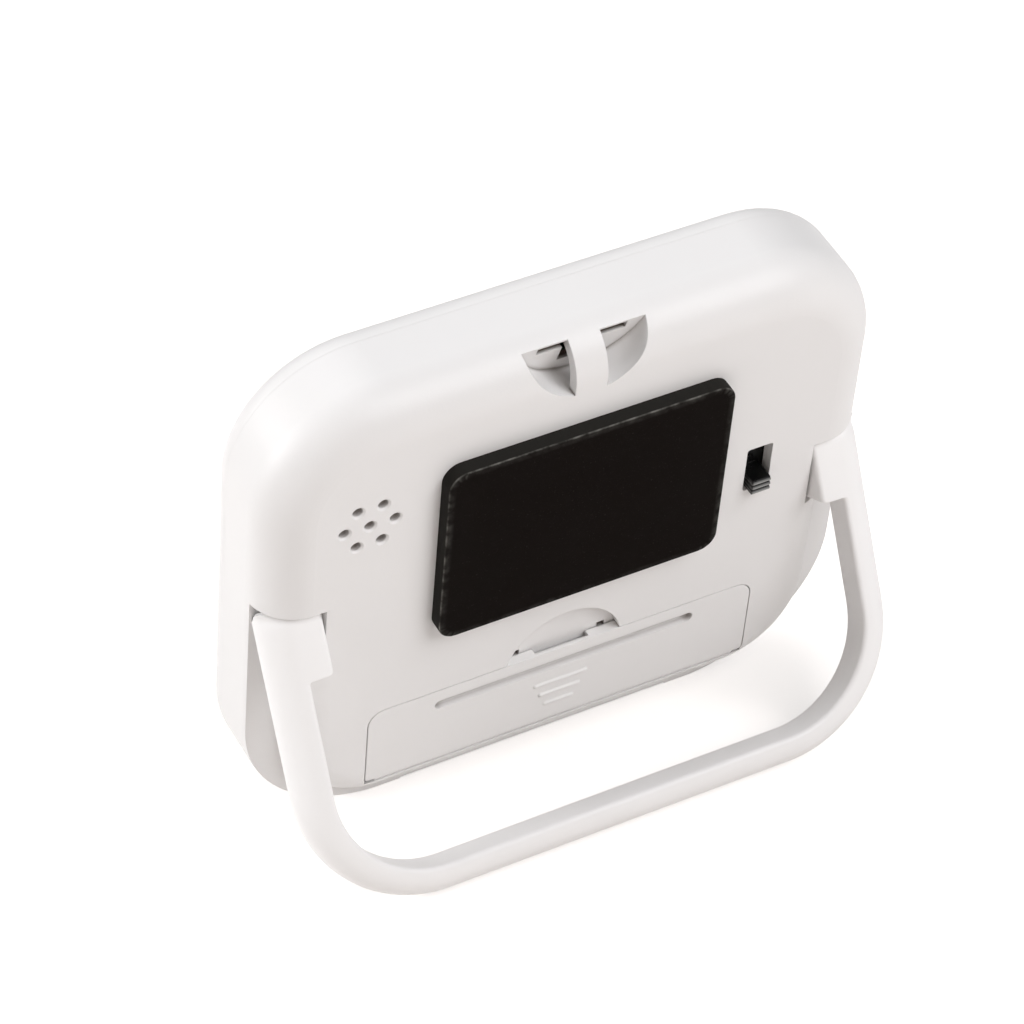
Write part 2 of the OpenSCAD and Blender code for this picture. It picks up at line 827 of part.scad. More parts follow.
// Hinge block on one arm: round above the pivot at the back, with a heel at the front
module hinge_block() {
  cross_bar(block_in, body_w / 2, pivot_d, pivot_z, pivot_d);
  box(block_in, body_w / 2, 0, arm_t, pivot_z - block_h, pivot_z);
  box(block_in, body_w / 2, pivot_d, arm_t, pivot_z - over, pivot_z + heel_h);
}

module stand() {
  color("white") lean_back()
    translate([0, -pivot_d, pivot_z]) rotate([open_angle, 0, 0]) translate([0, pivot_d, -pivot_z]) {
      intersection() {
        form(side_in, 0, arm_t + over, arm_round, 0, stand_r);
        union() {
          difference() {
            box(-body_w, body_w, -over, arm_t, -body_h, pivot_z);
            form(side_in + arm_w, -2 * over, arm_t + over, 0, 0, stand_r);
          }
          for (side = [0, 1]) mirror([side, 0, 0]) hinge_block();
        }
      }
      for (side = [0, 1]) mirror([side, 0, 0])
        cross_bar(block_in - peg_len, block_in + over, pivot_d, pivot_z, peg_r);
    }
}

module magnet_sheet() {
  color("black") lean_back()
    slab(-magnet_t, 0) translate([0, magnet_z]) round_rect(magnet_w, magnet_h, magnet_r);
}

module board_screws() {
  color("silver") lean_back()
    for (sx = [-1, 1], z = [screw_low, screw_top]) {
      post(sx * screw_x, z, head_r, board_back - head_h, board_back);
      post(sx * screw_x, z, shank_r, board_back - head_h, board_back + shank_h);
    }
}

front_shell();
rear_shell();
display_lens();
lcd_glass();
lcd_strip();
main_board();
timer_chip();
crystal();
capacitor();
key_switches();
minute_button();
second_button();
start_button();
switch_body();
switch_knob();
buzzer_disc();
buzzer_ceramic();
buzzer_springs();
battery_cell();
battery_spring();
spring_plate();
nub_plate();
battery_door();
stand();
magnet_sheet();
board_screws();
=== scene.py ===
import json
import math
import bmesh
import bpy
import numpy as np
from mathutils import Euler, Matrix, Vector


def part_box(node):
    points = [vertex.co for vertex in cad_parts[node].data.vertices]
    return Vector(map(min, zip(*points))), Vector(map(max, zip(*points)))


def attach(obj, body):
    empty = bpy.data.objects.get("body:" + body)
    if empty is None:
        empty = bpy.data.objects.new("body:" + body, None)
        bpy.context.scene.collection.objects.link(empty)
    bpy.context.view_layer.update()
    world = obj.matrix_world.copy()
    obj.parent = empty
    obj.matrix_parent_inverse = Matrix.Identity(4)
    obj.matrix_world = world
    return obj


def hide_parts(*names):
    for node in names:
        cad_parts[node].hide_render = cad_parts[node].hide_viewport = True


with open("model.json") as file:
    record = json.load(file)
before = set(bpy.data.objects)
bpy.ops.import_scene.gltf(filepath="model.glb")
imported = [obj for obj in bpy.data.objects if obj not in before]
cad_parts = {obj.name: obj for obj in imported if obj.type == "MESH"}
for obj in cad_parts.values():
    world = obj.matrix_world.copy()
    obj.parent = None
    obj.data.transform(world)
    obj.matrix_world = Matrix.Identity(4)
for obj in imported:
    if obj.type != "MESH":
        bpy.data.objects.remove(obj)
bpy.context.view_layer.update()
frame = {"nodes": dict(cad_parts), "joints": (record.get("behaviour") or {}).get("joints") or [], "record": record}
scene = bpy.context.scene
nodes = frame["nodes"]
mm = 0.001
quarter = np.pi / 2
print("frame loaded:", len(nodes), "nodes")

# case measures that the new pieces share, in mm: x across, d forward from the flat back, z up from the middle
case = {"halfW": 43.0, "halfH": 37.75, "frontD": 19.0, "panelBack": 17.4, "pivotD": 2.4, "pivotZ": 3.6}
meshRules = {"mergeGap": 1e-7, "sliver": 1e-8}

joints = {j["name"]: j for j in frame["joints"]}
pressWay = joints["minute_press"]["axis"]
pivotAt = joints["stand_fold"]["pos_m"]
leanCos, leanSin = pressWay[1], -pressWay[2]
leanY = pivotAt[1] / mm + case["pivotD"] * leanCos - case["pivotZ"] * leanSin
leanZ = pivotAt[2] / mm - case["pivotD"] * leanSin - case["pivotZ"] * leanCos


# upright millimetres to the frame's metres: turn y and z by the lean about X,
# then add the offset found from the stand's pivot
def leanBack(x, y, z):
    x, y, z = np.broadcast_arrays(np.asarray(x, float), np.asarray(y, float), np.asarray(z, float))
    return np.stack([x, y * leanCos + z * leanSin + leanY, z * leanCos - y * leanSin + leanZ], -1) * mm


# quads over a grid of points, wrapped round in either direction, as an index array
def gridFaces(rows, cols, wrapRows, wrapCols, start=0):
    i = np.arange(rows if wrapRows else rows - 1)[:, None]
    j = np.arange(cols if wrapCols else cols - 1)[None, :]
    a = i * cols + j
    b = i * cols + (j + 1) % cols
    c = ((i + 1) % rows) * cols + (j + 1) % cols
    d = ((i + 1) % rows) * cols + j
    return np.stack(np.broadcast_arrays(a, b, c, d), -1).reshape(-1, 4) + start


def linkPiece(name, data):
    piece = bpy.data.objects.new(name, data)
    scene.collection.objects.link(piece)
    return piece


def smoothMesh(data, degrees):
    data.shade_smooth()
    data.set_sharp_from_angle(angle=math.radians(degrees))


# one object from several grids, each with its wraps and whether its two end rows are closed by a flat face;
# doubles are merged and normals turned out
def meshPiece(name, grids, smoothAngle=40):
    verts, faces, start = [], [], 0
    for grid, wrapRows, wrapCols, capEnds in grids:
        rows, cols = grid.shape[:2]
        verts.append(grid.reshape(-1, 3))
        faces += gridFaces(rows, cols, wrapRows, wrapCols, start).tolist()
        if capEnds:
            faces.append((start + np.arange(cols)[::-1]).tolist())
            faces.append((start + (rows - 1) * cols + np.arange(cols)).tolist())
        start += rows * cols
    data = bpy.data.meshes.new(name)
    data.from_pydata(np.concatenate(verts).tolist(), [], faces)
    work = bmesh.new()
    work.from_mesh(data)
    bmesh.ops.remove_doubles(work, verts=work.verts, dist=meshRules["mergeGap"])
    bmesh.ops.dissolve_degenerate(work, dist=meshRules["sliver"], edges=work.edges)
    bmesh.ops.recalc_face_normals(work, faces=work.faces)
    work.to_mesh(data)
    work.free()
    smoothMesh(data, smoothAngle)
    return linkPiece(name, data)


# points of a turned shape: radius and height of each profile point swept round by the angle
def turned(radius, height, count):
    angle = np.linspace(0, 2 * np.pi, count, endpoint=False)
    return radius[:, None] * np.cos(angle), radius[:, None] * np.sin(angle), height[:, None] + 0 * angle


# outline of a rounded rectangle, set in by a distance: corner arcs joined by straight runs, all stations
# at once; past the corner's radius an arc keeps its least size and is pulled inwards
def roundRect(w, h, r, inset, perCorner, leastR=0.02):
    rad = np.maximum(r - inset, leastR)[:, None]
    pull = np.minimum(r - inset, 0)[:, None]
    angle = np.linspace(0, quarter, perCorner)
    corners = [(1, 1, 0), (-1, 1, 1), (-1, -1, 2), (1, -1, 3)]
    xs = [sx * (w / 2 - r + pull) + rad * np.cos(angle + k * quarter) for sx, sz, k in corners]
    zs = [sz * (h / 2 - r + pull) + rad * np.sin(angle + k * quarter) for sx, sz, k in corners]
    return np.concatenate(xs, 1), np.concatenate(zs, 1)


# height of every vertex out of the flat back in mm, the lean taken out again
def outOfBack(piece):
    points = np.empty(3 * len(piece.data.vertices))
    piece.data.vertices.foreach_get("co", points)
    points = points.reshape(-1, 3) / mm
    return (points[:, 1] - leanY) * leanCos - (points[:, 2] - leanZ) * leanSin


def setMark(piece, name, values):
    piece.data.attributes.new(name, "FLOAT", "POINT").data.foreach_set("value", values.astype(np.float32))


def wire(tree, source, target):
    tree.links.new(source, target)


def addNode(tree, kind, **values):
    node = tree.nodes.new(kind)
    for key, value in values.items():
        setattr(node, key, value)
    return node


def setInputs(node, **values):
    for key, value in values.items():
        node.inputs[key.replace("_", " ")].default_value = value
    return node


# math node with its links, or fixed numbers, in order
def addMath(tree, operation, *values):
    node = addNode(tree, "ShaderNodeMath", operation=operation)
    for socket, value in zip(node.inputs, values):
        if isinstance(value, (int, float)):
            socket.default_value = value
        else:
            wire(tree, value, socket)
    return node.outputs["Value"]


# mix by a factor of two colours, each a link or a fixed colour
def addMix(tree, factor, first, second):
    node = addNode(tree, "ShaderNodeMix", data_type="RGBA")
    wire(tree, factor, node.inputs["Factor"])
    for key, colour in (("A", first), ("B", second)):
        if isinstance(colour, tuple):
            node.inputs[key].default_value = colour + (1,)
        else:
            wire(tree, colour, node.inputs[key])
    return node.outputs["Result"]


def addNoise(tree, place, **values):
    noise = setInputs(addNode(tree, "ShaderNodeTexNoise"), **values)
    wire(tree, place, noise.inputs["Vector"])
    return noise


def addRange(tree, source, **values):
    spread = setInputs(addNode(tree, "ShaderNodeMapRange"), **values)
    wire(tree, source, spread.inputs["Value"])
    return spread


def roughBetween(tree, source, limits):
    return addRange(tree, source, To_Min=limits[0], To_Max=limits[1]).outputs["Result"]


# the piece's own coordinates, stretched or turned where a pattern needs it
def ownPlace(tree, **mapping):
    place = addNode(tree, "ShaderNodeTexCoord").outputs["Object"]
    if not mapping:
        return place
    turn = setInputs(addNode(tree, "ShaderNodeMapping"), **mapping)
    wire(tree, place, turn.inputs["Vector"])
    return turn.outputs["Vector"]


def newGroup(name, inputs, outputs):
    tree = bpy.data.node_groups.new(name, "ShaderNodeTree")
    for label, kind, value in inputs:
        socket = tree.interface.new_socket(label, in_out="INPUT", socket_type=kind)
        socket.default_value = value
    for label, kind in outputs:
        tree.interface.new_socket(label, in_out="OUTPUT", socket_type=kind)
    return tree, tree.nodes.new("NodeGroupInput").outputs, tree.nodes.new("NodeGroupOutput").inputs


# moulded surface: fine spark grain for the bump, a slow cloud between two shades,
# roughness from a middle noise
def makeMouldGrain():
    tree, given, out = newGroup("mouldGrain", [
        ("Light", "NodeSocketColor", (1, 1, 1, 1)), ("Shade", "NodeSocketColor", (0.9, 0.9, 0.9, 1)),
        ("Cloud Scale", "NodeSocketFloat", 35.0), ("Grain Scale", "NodeSocketFloat", 3200.0),
        ("Rough Low", "NodeSocketFloat", 0.36), ("Rough High", "NodeSocketFloat", 0.46)],
        [("Color", "NodeSocketColor"), ("Roughness", "NodeSocketFloat"), ("Height", "NodeSocketFloat")])
    place = ownPlace(tree)
    cloud = addNoise(tree, place, Detail=3.0, Roughness=0.55)
    grain = addNoise(tree, place, Detail=2.0, Roughness=0.6)
    middle = addNoise(tree, place, Scale=420.0, Detail=4.0, Roughness=0.6)
    spread = addRange(tree, middle.outputs["Fac"])
    wire(tree, given["Cloud Scale"], cloud.inputs["Scale"])
    wire(tree, given["Grain Scale"], grain.inputs["Scale"])
    wire(tree, given["Rough Low"], spread.inputs["To Min"])
    wire(tree, given["Rough High"], spread.inputs["To Max"])
    wire(tree, addMix(tree, cloud.outputs["Fac"], given["Light"], given["Shade"]), out["Color"])
    wire(tree, spread.outputs["Result"], out["Roughness"])
    wire(tree, grain.outputs["Fac"], out["Height"])
    return tree


# rounded look of a sharp edge: the bevelled normal,
# and a mask that is 1 where it leaves the face's own normal
def makeSoftEdge():
    tree, given, out = newGroup("softEdge", [("Radius", "NodeSocketFloat", 0.0003)],
                                [("Normal", "NodeSocketVector"), ("Edge", "NodeSocketFloat")])
    bevel = addNode(tree, "ShaderNodeBevel", samples=6)
    face = addNode(tree, "ShaderNodeNewGeometry")
    dot = addNode(tree, "ShaderNodeVectorMath", operation="DOT_PRODUCT")
    wire(tree, given["Radius"], bevel.inputs["Radius"])
    wire(tree, bevel.outputs["Normal"], dot.inputs[0])
    wire(tree, face.outputs["Normal"], dot.inputs[1])
    wire(tree, bevel.outputs["Normal"], out["Normal"])
    spread = addRange(tree, dot.outputs["Value"], From_Min=1.0, From_Max=0.82)
    wire(tree, spread.outputs["Result"], out["Edge"])
    return tree


# painted shade of holes and grooves: how far a point is shut in by its own piece within the reach,
# 0 where it is more open than the start, 1 deep inside
def makeCrevice():
    tree, given, out = newGroup("crevice", [
        ("Reach", "NodeSocketFloat", 0.0015), ("Open", "NodeSocketFloat", 0.55)],
        [("Depth", "NodeSocketFloat")])
    shut = addNode(tree, "ShaderNodeAmbientOcclusion", samples=8, only_local=True)
    spread = addRange(tree, shut.outputs["AO"], From_Max=0.2)
    wire(tree, given["Reach"], shut.inputs["Distance"])
    wire(tree, given["Open"], spread.inputs["From Min"])
    wire(tree, spread.outputs["Result"], out["Depth"])
    return tree


throatLook = {"edgeD": 3.067, "edgeZ": 36.9, "tilt": 18.0, "from": 0.1, "to": 0.6,
              "halfW": 7.0, "low": 27.5, "top": 36.8}


# painted shade of the openings in the hanging pocket: how far a point lies behind the pocket's sloping floor,
# within the pocket's width and height; the floor is a plane through its upper edge,
# so one dot product gives the distance
def makeThroat(look):
    tree, _, out = newGroup("throat", [], [("Depth", "NodeSocketFloat")])
    slope = math.tan(math.radians(look["tilt"]))
    outWay = np.array([0, leanCos, -leanSin]) / mm
    upWay = np.array([0, leanSin, leanCos]) / mm
    behindWay = slope * upWay - outWay
    origin = np.array([0, leanY, leanZ]) * mm
    floor = float(behindWay @ origin) + look["edgeD"] + slope * look["edgeZ"]
    level = float(upWay @ origin)
    place = ownPlace(tree)
    split = addNode(tree, "ShaderNodeSeparateXYZ")
    behind = addNode(tree, "ShaderNodeVectorMath", operation="DOT_PRODUCT")
    height = addNode(tree, "ShaderNodeVectorMath", operation="DOT_PRODUCT")
    behind.inputs[1].default_value = behindWay
    height.inputs[1].default_value = upWay
    wire(tree, place, split.inputs["Vector"])
    wire(tree, place, behind.inputs[0])
    wire(tree, place, height.inputs[0])
    side = addMath(tree, "ABSOLUTE", split.outputs["X"])
    start, end = floor + look["from"], floor + look["to"]
    mask = addRange(tree, behind.outputs["Value"], From_Min=start, From_Max=end).outputs["Result"]
    for kind, value, limit in (("LESS_THAN", side, look["halfW"] * mm),
                               ("GREATER_THAN", height.outputs["Value"], level + look["low"]),
                               ("LESS_THAN", height.outputs["Value"], level + look["top"])):
        mask = addMath(tree, "MULTIPLY", mask, addMath(tree, kind, value, limit))
    wire(tree, mask, out["Depth"])
    return tree


mouldGrain = makeMouldGrain()
softEdge = makeSoftEdge()
crevice = makeCrevice()
throat = makeThroat(throatLook)


def newMaterial(name):
    material = bpy.data.materials.new(name)
    material.use_nodes = True
    tree = material.node_tree
    return material, tree, tree.nodes["Principled BSDF"]


# moulded plastic: grain group into colour, roughness and bump, the edge group under the bump,
# and edges a shade lighter; "mark" names an attribute that takes the lighter colour instead of the edges,
# which on the knob's crests is a painted highlight; holes, grooves and the pocket's openings get painted shade
def plastic(name, look):
    material, tree, shader = newMaterial(name)
    grain = addNode(tree, "ShaderNodeGroup", node_tree=mouldGrain)
    edge = addNode(tree, "ShaderNodeGroup", node_tree=softEdge)
    setInputs(grain, Light=look["light"] + (1,), Shade=look["shade"] + (1,), Grain_Scale=look["grain"],
              Rough_Low=look["rough"][0], Rough_High=look["rough"][1])
    setInputs(edge, Radius=look["edge"])
    mark = edge.outputs["Edge"]
    if "mark" in look:
        mark = addNode(tree, "ShaderNodeAttribute", attribute_name=look["mark"]).outputs["Fac"]
    amount = addMath(tree, "MULTIPLY", mark, look["wornAmount"])
    colour = addMix(tree, amount, grain.outputs["Color"], look["worn"])
    # painted shade: holes, grooves and the pocket's openings are darkened by colour
    if "paintedShade" in look:
        hole = addNode(tree, "ShaderNodeGroup", node_tree=crevice)
        inside = addNode(tree, "ShaderNodeGroup", node_tree=throat)
        setInputs(hole, Reach=look["paintedShadeReach"], Open=look["paintedShadeOpen"])
        deepest = addMath(tree, "MAXIMUM", hole.outputs["Depth"], inside.outputs["Depth"])
        colour = addMix(tree, deepest, colour, look["paintedShade"])
    bump = setInputs(addNode(tree, "ShaderNodeBump"), Strength=look["bump"], Distance=0.00003)
    wire(tree, grain.outputs["Height"], bump.inputs["Height"])
    wire(tree, edge.outputs["Normal"], bump.inputs["Normal"])
    wire(tree, colour, shader.inputs["Base Color"])
    wire(tree, grain.outputs["Roughness"], shader.inputs["Roughness"])
    wire(tree, bump.outputs["Normal"], shader.inputs["Normal"])
    shader.inputs["IOR"].default_value = look["ior"]
    return material


# metal: fine noise, drawn out into streaks where an axis is stretched,
# changes the roughness and a little of the colour
def metal(name, look):
    material, tree, shader = newMaterial(name)
    place = ownPlace(tree, Scale=look["stretch"])
    streak = addNoise(tree, place, Scale=look["scale"], Detail=4.0).outputs["Fac"]
    bump = setInputs(addNode(tree, "ShaderNodeBump"), Strength=0.2, Distance=0.00001)
    wire(tree, streak, bump.inputs["Height"])
    wire(tree, addMix(tree, streak, look["light"], look["shade"]), shader.inputs["Base Color"])
    wire(tree, roughBetween(tree, streak, look["rough"]), shader.inputs["Roughness"])
    wire(tree, bump.outputs["Normal"], shader.inputs["Normal"])
    shader.inputs["Metallic"].default_value = 1.0
    return material


shellLook = {"light": (0.84, 0.832, 0.828), "shade": (0.80, 0.79, 0.785), "grain": 3200.0,
             "rough": (0.36, 0.46), "edge": 0.00012, "worn": (0.86, 0.85, 0.845), "wornAmount": 0.3,
             "bump": 0.25, "ior": 1.46}
# painted shade for holes, grooves and the pocket's openings: its dark colour, and the reach and start of the
# crevice mask
holeShadeLook = {"paintedShade": (0.16, 0.125, 0.105), "paintedShadeReach": 0.0015, "paintedShadeOpen": 0.55}


# plastic that differs from the shell's only in the values given
def likeShell(name, **changes):
    return plastic(name, shellLook | changes)


shellWhite = likeShell("shellWhite", **holeShadeLook)
doorWhite = likeShell("doorWhite", **(holeShadeLook | {"edge": 0.00025, "paintedShadeOpen": 0.8}))
# the stand's white is a paler copy of the shell's, painted lighter for the light its tilted faces catch
standLitWhite = likeShell("standLitWhite", light=(0.93, 0.924, 0.922), shade=(0.89, 0.882, 0.88), edge=0.0002)
buttonPale = likeShell("buttonPale", light=(0.62, 0.635, 0.66), shade=(0.57, 0.585, 0.61))
startRed = likeShell("startRed", light=(0.72, 0.16, 0.07), shade=(0.64, 0.13, 0.055), worn=(0.78, 0.25, 0.15))
# the pale grey on the knob's crests is a painted highlight
knobBlack = likeShell("knobBlack", light=(0.003, 0.003, 0.003), shade=(0.005, 0.005, 0.005),
                      rough=(0.22, 0.36), worn=(0.42, 0.42, 0.41), wornAmount=0.8, edge=0.00013,
                      ior=1.25, mark="ridge")
keyGrey = likeShell("keyGrey", light=(0.06, 0.06, 0.065), shade=(0.045, 0.045, 0.05), worn=(0.1, 0.1, 0.1))
compoundBlack = likeShell("compoundBlack", light=(0.012, 0.012, 0.012), shade=(0.02, 0.02, 0.02),
                          rough=(0.12, 0.3), worn=(0.03, 0.03, 0.03))
sleeveBlue = likeShell("sleeveBlue", light=(0.03, 0.045, 0.16), shade=(0.025, 0.035, 0.12), rough=(0.2, 0.35),
                       worn=(0.06, 0.08, 0.2))
rubberGrey = likeShell("rubberGrey", light=(0.05, 0.05, 0.055), shade=(0.035, 0.035, 0.04), rough=(0.6, 0.8),
                       worn=(0.07, 0.07, 0.07))
figureInk = likeShell("figureInk", light=(0.02, 0.024, 0.022), shade=(0.03, 0.034, 0.03), rough=(0.3, 0.45),
                      worn=(0.03, 0.03, 0.03), edge=0.00002)
borderInk = likeShell("borderInk", light=(0.035, 0.036, 0.04), shade=(0.028, 0.029, 0.032),
                      worn=(0.04, 0.04, 0.045), edge=0.00002)
springSteel = metal("springSteel", {"light": (0.62, 0.62, 0.61), "shade": (0.5, 0.5, 0.49), "scale": 900.0,
                                    "stretch": (1, 1, 1), "rough": (0.2, 0.34)})
tinPlate = metal("tinPlate", {"light": (0.6, 0.6, 0.6), "shade": (0.48, 0.48, 0.47), "scale": 700.0,
                              "stretch": (1, 0.08, 1), "rough": (0.28, 0.44)})
sounderBrass = metal("sounderBrass", {"light": (0.78, 0.56, 0.22), "shade": (0.66, 0.45, 0.16),
                                      "scale": 600.0, "stretch": (0.1, 1, 1), "rough": (0.2, 0.38)})
ceramicSilver = metal("ceramicSilver", {"light": (0.8, 0.79, 0.76), "shade": (0.7, 0.69, 0.65),
                                        "scale": 1500.0, "stretch": (1, 1, 1), "rough": (0.35, 0.5)})
print("plastics and metals made")


# rubber-bonded magnet: near black face, greyer cut side read from the "side" attribute,
# and a pale rim where it turns over, a painted highlight broken up by noise,
# side times its rest being greatest there
def makeMagnetRubber(look):
    material, tree, shader = newMaterial("magnetRubber")
    place = ownPlace(tree)
    side = addNode(tree, "ShaderNodeAttribute", attribute_name="side").outputs["Fac"]
    cloud = addNoise(tree, place, Scale=look["cloudScale"], Detail=5.0).outputs["Fac"]
    speck = addNoise(tree, place, Scale=look["speckScale"], Detail=2.0).outputs["Fac"]
    chip = addNoise(tree, place, Scale=look["chipScale"], Detail=4.0).outputs["Fac"]
    few = addRange(tree, speck, From_Min=look["speckCut"][0], From_Max=look["speckCut"][1]).outputs["Result"]
    broken = addRange(tree, chip, From_Min=look["chipCut"][0], From_Max=look["chipCut"][1],
                      To_Min=look["chipLeast"])
    rest = addMath(tree, "SUBTRACT", 1.0, side)
    rim = addMath(tree, "MULTIPLY", addMath(tree, "MULTIPLY", side, rest), look["rimGain"])
    chips = addMath(tree, "MULTIPLY", broken.outputs["Result"], rim)
    face = addMix(tree, cloud, look["light"], look["shade"])
    colour = addMix(tree, few, addMix(tree, side, face, look["cut"]), look["speck"])
    bump = setInputs(addNode(tree, "ShaderNodeBump"), Strength=0.5, Distance=0.00004)
    wire(tree, speck, bump.inputs["Height"])
    wire(tree, addMix(tree, chips, colour, look["chip"]), shader.inputs["Base Color"])
    wire(tree, roughBetween(tree, cloud, look["rough"]), shader.inputs["Roughness"])
    wire(tree, bump.outputs["Normal"], shader.inputs["Normal"])
    shader.inputs["Specular IOR Level"].default_value = look["specular"]
    return material


# board lacquer: green with paler copper runs, from bricks in the board's own plane
def makeBoardLacquer(look):
    material, tree, shader = newMaterial("boardLacquer")
    run = setInputs(addNode(tree, "ShaderNodeTexBrick"), Scale=look["scale"], Color1=look["light"] + (1,),
                    Color2=look["shade"] + (1,), Mortar=look["copper"] + (1,), Mortar_Size=0.03,
                    Brick_Width=0.9, Row_Height=0.22)
    lean = math.atan2(leanSin, leanCos)
    blur = addNoise(tree, ownPlace(tree), Scale=300.0, Detail=3.0).outputs["Fac"]
    wire(tree, ownPlace(tree, Rotation=(quarter + lean, 0, 0)), run.inputs["Vector"])
    wire(tree, run.outputs["Color"], shader.inputs["Base Color"])
    wire(tree, roughBetween(tree, blur, look["rough"]), shader.inputs["Roughness"])
    return material


# cell jacket: printed film in bands along X, with grey ends, two colours and a pale ring between them
def makeCellJacket(look):
    material, tree, shader = newMaterial("cellJacket")
    place = ownPlace(tree)
    split = addNode(tree, "ShaderNodeSeparateXYZ")
    wire(tree, place, split.inputs["Vector"])
    along = addRange(tree, split.outputs["X"], From_Min=look["from"], From_Max=look["to"])
    ramp = addNode(tree, "ShaderNodeValToRGB")
    ramp.color_ramp.interpolation = "CONSTANT"
    bands = ramp.color_ramp.elements
    for number, (at, colour) in enumerate(look["bands"]):
        band = bands[number] if number < len(bands) else bands.new(at)
        band.position, band.color = at, colour + (1,)
    film = addNoise(tree, place, Scale=500.0, Detail=3.0).outputs["Fac"]
    wire(tree, along.outputs["Result"], ramp.inputs["Fac"])
    wire(tree, ramp.outputs["Color"], shader.inputs["Base Color"])
    wire(tree, roughBetween(tree, film, look["rough"]), shader.inputs["Roughness"])
    return material


# display cell: grey-green film with fine grain
def makeDisplayFilm(look):
    material, tree, shader = newMaterial("displayFilm")
    grain = addNoise(tree, ownPlace(tree), Scale=160.0, Detail=5.0).outputs["Fac"]
    wire(tree, addMix(tree, grain, look["light"], look["shade"]), shader.inputs["Base Color"])
    wire(tree, roughBetween(tree, grain, look["rough"]), shader.inputs["Roughness"])
    return material


# window: clear acrylic, its roughness lifted by faint wiping marks along X
def makeWindowClear(look):
    material, tree, shader = newMaterial("windowClear")
    wipe = addNoise(tree, ownPlace(tree, Scale=look["stretch"]), Scale=260.0, Detail=4.0).outputs["Fac"]
    wire(tree, roughBetween(tree, wipe, look["rough"]), shader.inputs["Roughness"])
    shader.inputs["Base Color"].default_value = look["tint"] + (1,)
    shader.inputs["Transmission Weight"].default_value = 1.0
    shader.inputs["IOR"].default_value = look["ior"]
    return material


# the rim's pale colour is a painted highlight, broken up by noise
magnetRubber = makeMagnetRubber({
    "light": (0.0045, 0.0032, 0.0026), "shade": (0.006, 0.0042, 0.0034), "cut": (0.022, 0.021, 0.019),
    "speck": (0.02, 0.018, 0.016), "chip": (0.2, 0.195, 0.18), "cloudScale": 90.0, "speckScale": 5200.0,
    "chipScale": 700.0, "speckCut": (0.66, 0.74), "chipCut": (0.38, 0.72), "chipLeast": 0.1, "rimGain": 4.0,
    "rough": (0.5, 0.68), "specular": 0.02})
boardLacquer = makeBoardLacquer({"light": (0.012, 0.11, 0.035), "shade": (0.01, 0.09, 0.03),
                                 "copper": (0.03, 0.17, 0.05), "scale": 110.0, "rough": (0.22, 0.4)})
cellFrom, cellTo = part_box("battery_cell")
greyEnd = (0.5, 0.5, 0.5)
cellJacket = makeCellJacket({
    "from": cellFrom.x, "to": cellTo.x, "rough": (0.22, 0.36),
    "bands": [(0.0, greyEnd), (0.02, (0.025, 0.05, 0.14)), (0.7, (0.6, 0.6, 0.58)), (0.72, (0.62, 0.3, 0.06)),
              (0.965, greyEnd)]})
displayFilm = makeDisplayFilm({"light": (0.36, 0.4, 0.33), "shade": (0.32, 0.36, 0.29), "rough": (0.25, 0.4)})
windowClear = makeWindowClear({"tint": (0.97, 0.98, 0.98), "ior": 1.49, "stretch": (0.2, 1, 1),
                               "rough": (0.01, 0.06)})

finishes = {"front_case": shellWhite, "rear_case": shellWhite, "door": doorWhite, "stand_plastic": standLitWhite,
            "lens": windowClear, "lcd": displayFilm, "contact_rubber": rubberGrey, "board": boardLacquer,
            "sealing_compound": compoundBlack, "bright_metal": springSteel, "tin_plate": tinPlate,
            "capacitor_sleeve": sleeveBlue, "key_plastic": keyGrey, "pale_button": buttonPale,
            "start_cap": startRed, "knob": knobBlack, "sounder_brass": sounderBrass,
            "ceramic": ceramicSilver, "cell_jacket": cellJacket, "magnet": magnetRubber}
slotOf = {row["node"]: row["material_slot"] for row in frame["record"]["subparts"]}
for nodeName, obj in nodes.items():
    obj.data.materials.clear()
    obj.data.materials.append(finishes[slotOf[nodeName]])


# a print on a piece has its own ink, and otherwise the slot's finish is used
def dress(piece, slotName, bodyName, *replaced, ink=None):
    piece.data.materials.append(ink or finishes[slotName])
    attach(piece, bodyName)
    if replaced:
        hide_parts(*replaced)


print("materials on", len(nodes), "nodes")

# blockS and blockA are the hinge block's inner outline: distance down from the pivot, and width
standLook = {"sideIn": 0.2, "cornerR": 18.0, "armW": 4.4, "openAngle": 30.0, "heel": 1.043, "heelStep": 0.001,
             "topR": 2.395, "plainTo": 6.5, "armFrom": 10.0,
             "blockS": (6.9, 7.2, 7.34, 7.4, 7.4, 7.46, 7.6, 7.9, 9.0),
             "blockA": (7.7, 7.66, 7.5, 7.2, 5.2, 4.75, 4.5, 4.4, 4.4),
             "backRound": 3.7, "innerRound": 0.6, "frontRound": 0.5, "leastRound": 0.02, "smallShare": 0.46,
             "backLeft": 0.3, "sideLeft": 0.05, "leastDepth": 0.01,
             "pegR": 1.2, "pegFrom": 33.4, "pegTo": 35.7,
             "noseIn": (0.25, 0.07, 0.0), "noseAt": (0.0, 0.08, 0.3)}


# the stand's own plane: x across, s down from the pivot, q out of the back;
# turned open about the pivot, then leaned
def standPlace(x, s, q):
    a = math.radians(standLook["openAngle"])
    y = q * math.cos(a) + s * math.sin(a) - case["pivotD"]
    return leanBack(x, y, case["pivotZ"] + q * math.sin(a) - s * math.cos(a))


